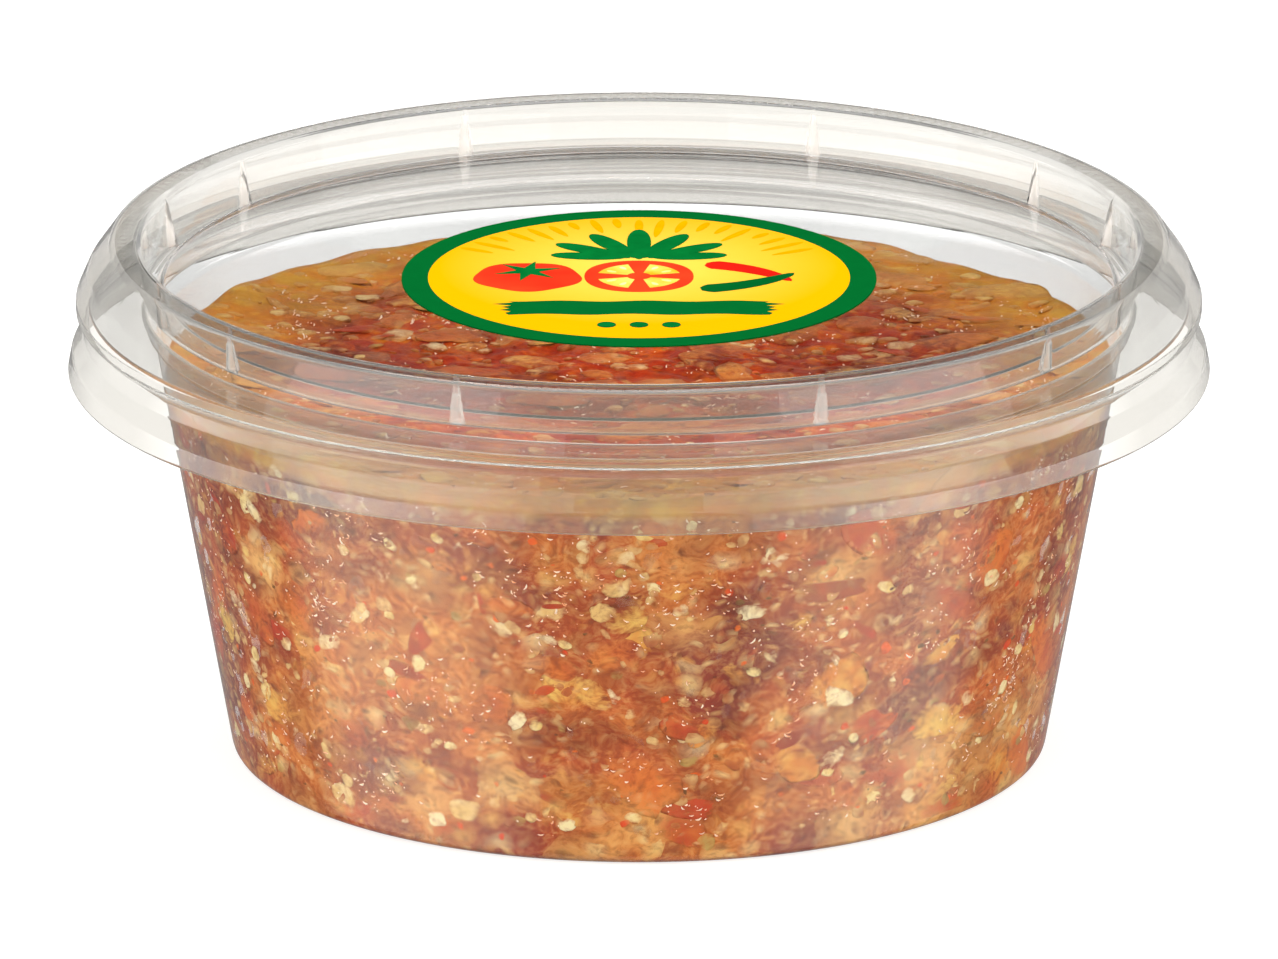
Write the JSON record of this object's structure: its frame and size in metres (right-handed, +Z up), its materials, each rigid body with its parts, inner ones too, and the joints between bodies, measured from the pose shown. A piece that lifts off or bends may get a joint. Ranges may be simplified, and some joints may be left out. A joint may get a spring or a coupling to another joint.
{
  "type": "clear tub of pico de gallo",
  "caption": "Chopped tomato salsa in a clear round tapered plastic tub, shut with a clear press-on lid that carries a round yellow and green label.",
  "frame": {"origin": "centre of the flat ring that the tub stands on", "axes": "+Z up along the tub's axis; -Y is the side that faces the picture's camera"},
  "size_m": [0.0924, 0.0924, 0.0424],
  "materials": {
    "clear_cup": "clear, glossy, thin thermoformed plastic",
    "clear_lid": "clear, glossy, thin thermoformed plastic",
    "label_paper": "gloss-varnished print in yellow with a green rim",
    "salsa": "wet, soft, finely chopped vegetables in their own juice"
  },
  "bodies": {
    "root": {"cup": "clear_cup", "lid": "clear_lid", "label": "label_paper", "pico_de_gallo": "salsa"}
  },
  "joints": []
}
